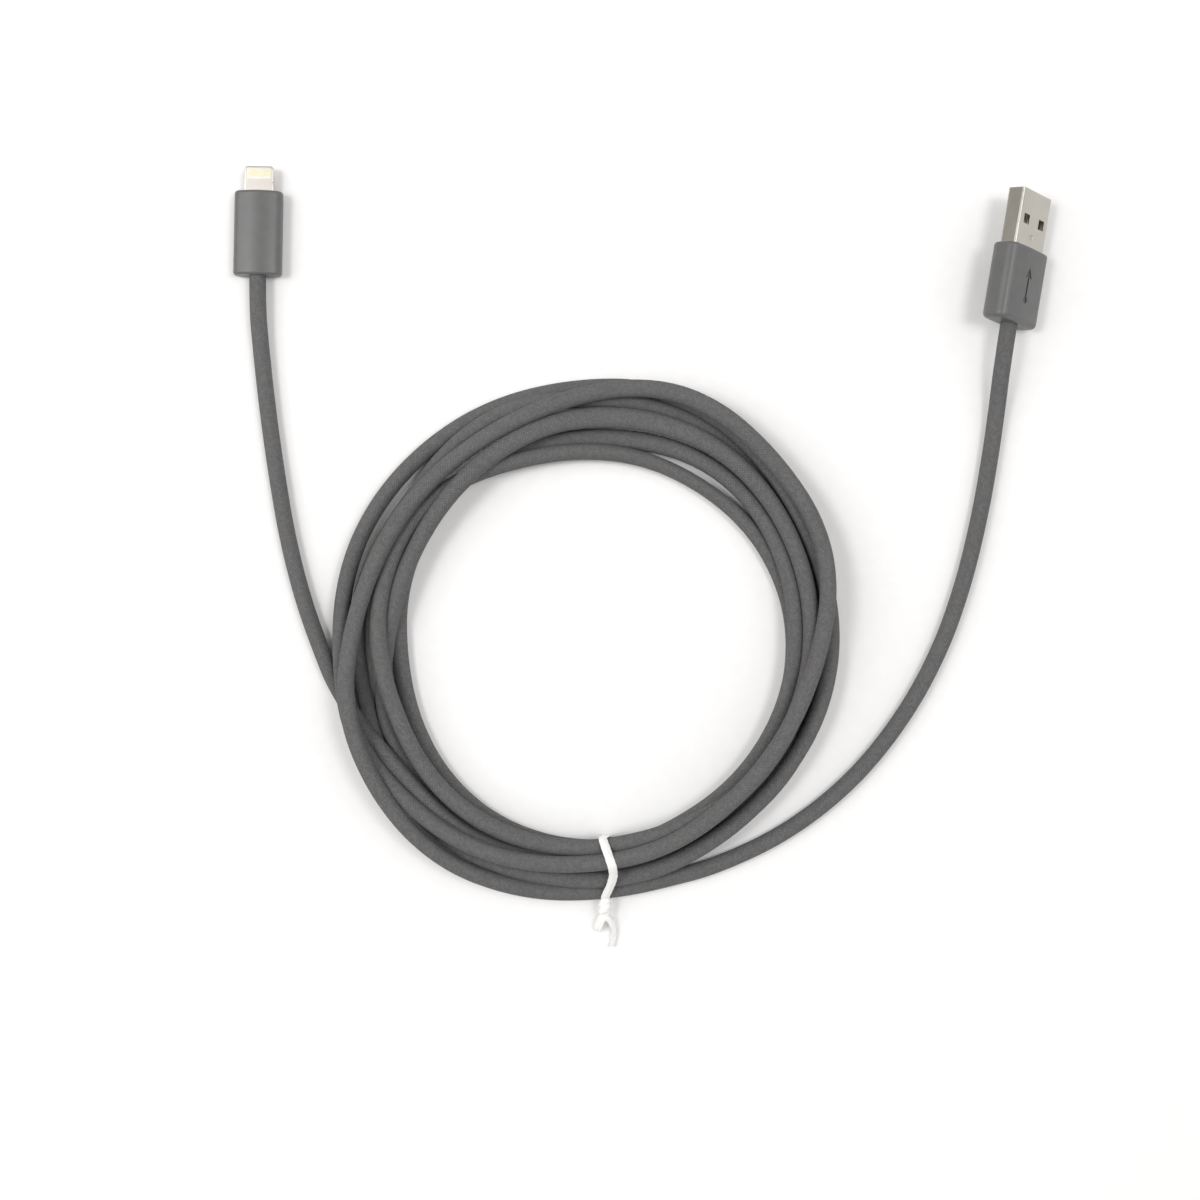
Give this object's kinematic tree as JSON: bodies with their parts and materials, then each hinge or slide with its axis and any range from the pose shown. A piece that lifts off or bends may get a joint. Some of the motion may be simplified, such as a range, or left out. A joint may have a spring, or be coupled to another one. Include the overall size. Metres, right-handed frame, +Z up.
{
  "type": "charging cable",
  "caption": "Grey braided charging cable in a loose coil under a white twist tie, with a USB-A plug and a slim reversible eight-contact tab plug.",
  "frame": {"origin": "centre of the coil, on the surface that the cable lies on", "axes": "+Z up; +Y from the coil towards the side where both plugs lie; +X to the USB-A plug side"},
  "size_m": [0.196, 0.1882, 0.0138],
  "materials": {
    "plug_steel": "bright nickel-plated steel with a faint drawn grain",
    "housing_plastic": "satin moulded grey plastic",
    "braid_fabric": "fine grey braided sleeve",
    "white_plastic": "white insulating plastic",
    "mould_plastic": "translucent white inner mould",
    "gold_contact": "gold-plated contact metal",
    "solder": "solder",
    "board_green": "green circuit board",
    "chip_black": "black chip package",
    "collar_brass": "crimped brass",
    "tie_plastic": "white tie jacket",
    "tie_steel": "thin galvanised wire",
    "wire_red": "red wire insulation",
    "wire_white": "white wire insulation",
    "wire_green": "green wire insulation",
    "wire_black": "black wire insulation"
  },
  "bodies": {
    "root": {"cord_coil": "braid_fabric", "cord_tab_tail": "braid_fabric", "cord_usb_tail": "braid_fabric", "tab_board": "board_green", "tab_capacitor_1": "chip_black", "tab_capacitor_2": "chip_black", "tab_control_chip": "chip_black", "tab_crimp_collar": "collar_brass", "tab_frame": "plug_steel", "tab_housing": "housing_plastic", "tab_inner_mould": "mould_plastic", "tab_insulator": "white_plastic", "tab_pad_bottom_1": "gold_contact", "tab_pad_bottom_2": "gold_contact", "tab_pad_bottom_3": "gold_contact", "tab_pad_bottom_4": "gold_contact", "tab_pad_bottom_5": "gold_contact", "tab_pad_bottom_6": "gold_contact", "tab_pad_bottom_7": "gold_contact", "tab_pad_bottom_8": "gold_contact", "tab_pad_top_1": "gold_contact", "tab_pad_top_2": "gold_contact", "tab_pad_top_3": "gold_contact", "tab_pad_top_4": "gold_contact", "tab_pad_top_5": "gold_contact", "tab_pad_top_6": "gold_contact", "tab_pad_top_7": "gold_contact", "tab_pad_top_8": "gold_contact", "tab_shield_can_bottom": "plug_steel", "tab_shield_can_top": "plug_steel", "tab_solder_black": "solder", "tab_solder_green": "solder", "tab_solder_red": "solder", "tab_solder_white": "solder", "tab_wire_black": "wire_black", "tab_wire_green": "wire_green", "tab_wire_red": "wire_red", "tab_wire_white": "wire_white", "tie_jacket": "tie_plastic", "tie_wire": "tie_steel", "usb_contact_carrier": "white_plastic", "usb_contact_data_minus": "gold_contact", "usb_contact_data_plus": "gold_contact", "usb_contact_ground": "gold_contact", "usb_contact_power": "gold_contact", "usb_crimp_collar": "collar_brass", "usb_housing": "housing_plastic", "usb_inner_mould": "mould_plastic", "usb_shell": "plug_steel", "usb_solder_data_minus": "solder", "usb_solder_data_plus": "solder", "usb_solder_ground": "solder", "usb_solder_power": "solder", "usb_wire_black": "wire_black", "usb_wire_green": "wire_green", "usb_wire_red": "wire_red", "usb_wire_white": "wire_white"}
  },
  "joints": []
}
